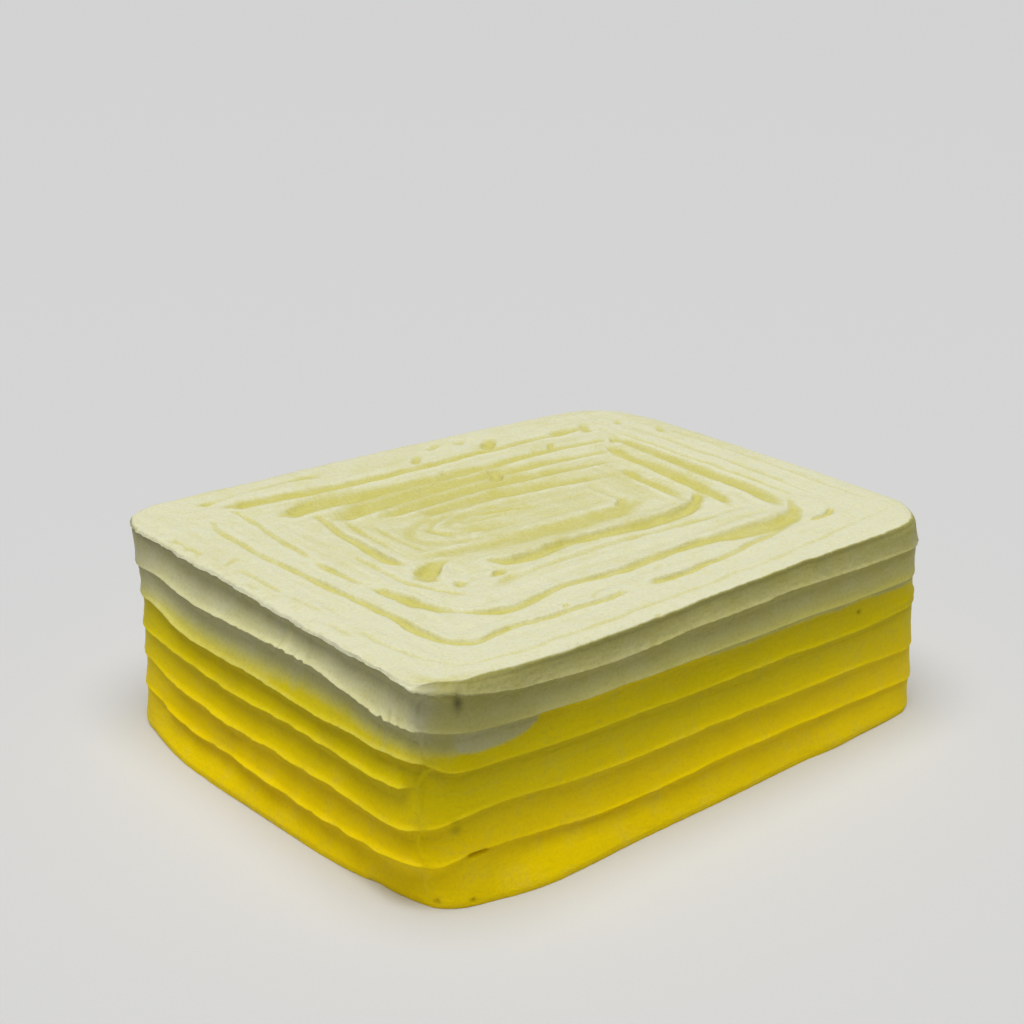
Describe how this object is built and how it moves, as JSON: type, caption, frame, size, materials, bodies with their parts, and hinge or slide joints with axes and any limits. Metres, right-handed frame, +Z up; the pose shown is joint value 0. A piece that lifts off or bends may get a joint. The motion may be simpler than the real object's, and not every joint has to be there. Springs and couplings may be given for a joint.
{
  "type": "lemon sheet cake",
  "caption": "Uncut rectangular sheet cake in yellow-to-cream ombre buttercream, its sides drawn into level bands and its top into rectangular rings by a palette knife.",
  "frame": {"origin": "under the middle of the cake's bounding box, on the flat face it rests on", "axes": "+X along the long sides, +Y towards the back long side, +Z up; the corner at -X -Y is the one nearest the camera in the picture"},
  "size_m": [0.316, 0.245, 0.1],
  "materials": {
    "buttercream": "soft satin buttercream, saturated lemon yellow at the foot fading to pale cream at the rim and top"
  },
  "bodies": {
    "root": {"cake": "buttercream"}
  },
  "joints": []
}
